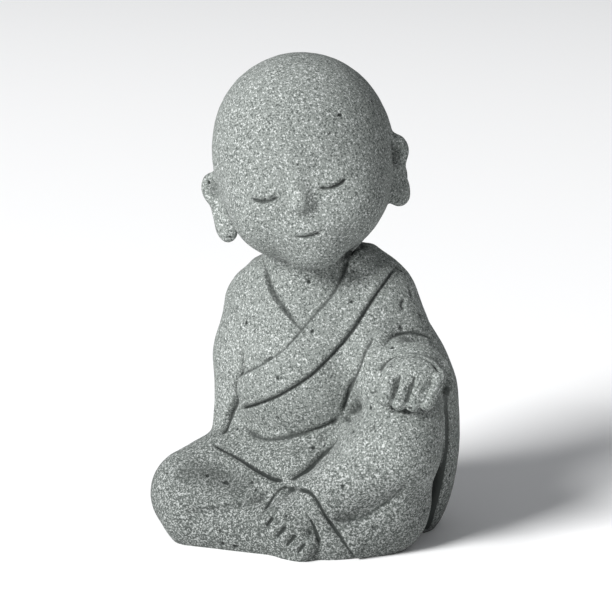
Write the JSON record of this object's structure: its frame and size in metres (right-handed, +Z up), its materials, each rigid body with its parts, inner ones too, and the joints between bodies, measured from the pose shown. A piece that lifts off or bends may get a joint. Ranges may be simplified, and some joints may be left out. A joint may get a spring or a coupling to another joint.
{
  "type": "seated monk figurine",
  "caption": "Small cast-stone figurine of a seated child monk: round tilted head, crossed robe, one knee raised with a hand on it, flat underside.",
  "frame": {"origin": "on the flat underside, below the middle of the neck; the underside is the plane z = 0", "axes": "+Z up, the figure faces -Y, and the monk's left is +X"},
  "size_m": [0.0965, 0.0737, 0.15],
  "materials": {
    "stone": "rough grey-green cast stone with white and dark grains and small pits, unpolished"
  },
  "bodies": {
    "root": {"seated_monk": "stone"}
  },
  "joints": []
}
